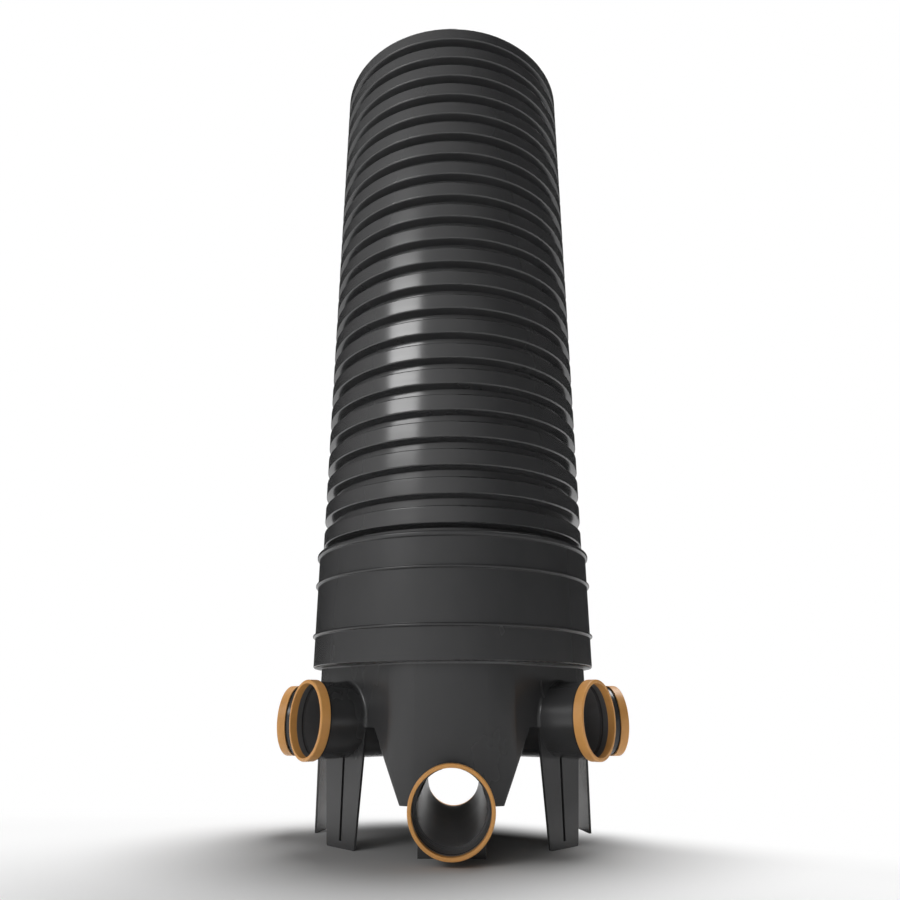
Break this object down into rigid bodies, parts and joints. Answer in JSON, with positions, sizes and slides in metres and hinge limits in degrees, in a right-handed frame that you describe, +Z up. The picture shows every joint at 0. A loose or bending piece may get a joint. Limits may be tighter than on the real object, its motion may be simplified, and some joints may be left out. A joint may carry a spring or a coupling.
{
  "type": "drain inspection chamber",
  "caption": "Open-topped drain inspection chamber: a corrugated riser pipe stands in a moulded base with a through channel, side inlets on legs and ringed pipe sockets.",
  "frame": {"origin": "on the chamber's axis, in the plane on which the feet stand", "axes": "+Z up the riser, -Y along the channel to the outlet socket, +X to the right seen from the outlet"},
  "size_m": [0.6362, 0.585, 1.5804],
  "materials": {
    "base_plastic": "satin black polypropylene",
    "riser_plastic": "smooth black polypropylene",
    "ring_plastic": "tan orange polypropylene",
    "rubber": "matt black rubber"
  },
  "bodies": {
    "root": {"base": "base_plastic", "riser_pipe": "riser_plastic", "riser_seal": "rubber", "retaining_ring_outlet": "ring_plastic", "retaining_ring_main_inlet": "ring_plastic", "retaining_ring_right_front": "ring_plastic", "retaining_ring_left_front": "ring_plastic", "retaining_ring_right_rear": "ring_plastic", "retaining_ring_left_rear": "ring_plastic", "pipe_seal_outlet": "rubber", "pipe_seal_main_inlet": "rubber", "pipe_seal_right_front": "rubber", "pipe_seal_left_front": "rubber", "pipe_seal_right_rear": "rubber", "pipe_seal_left_rear": "rubber"}
  },
  "joints": []
}
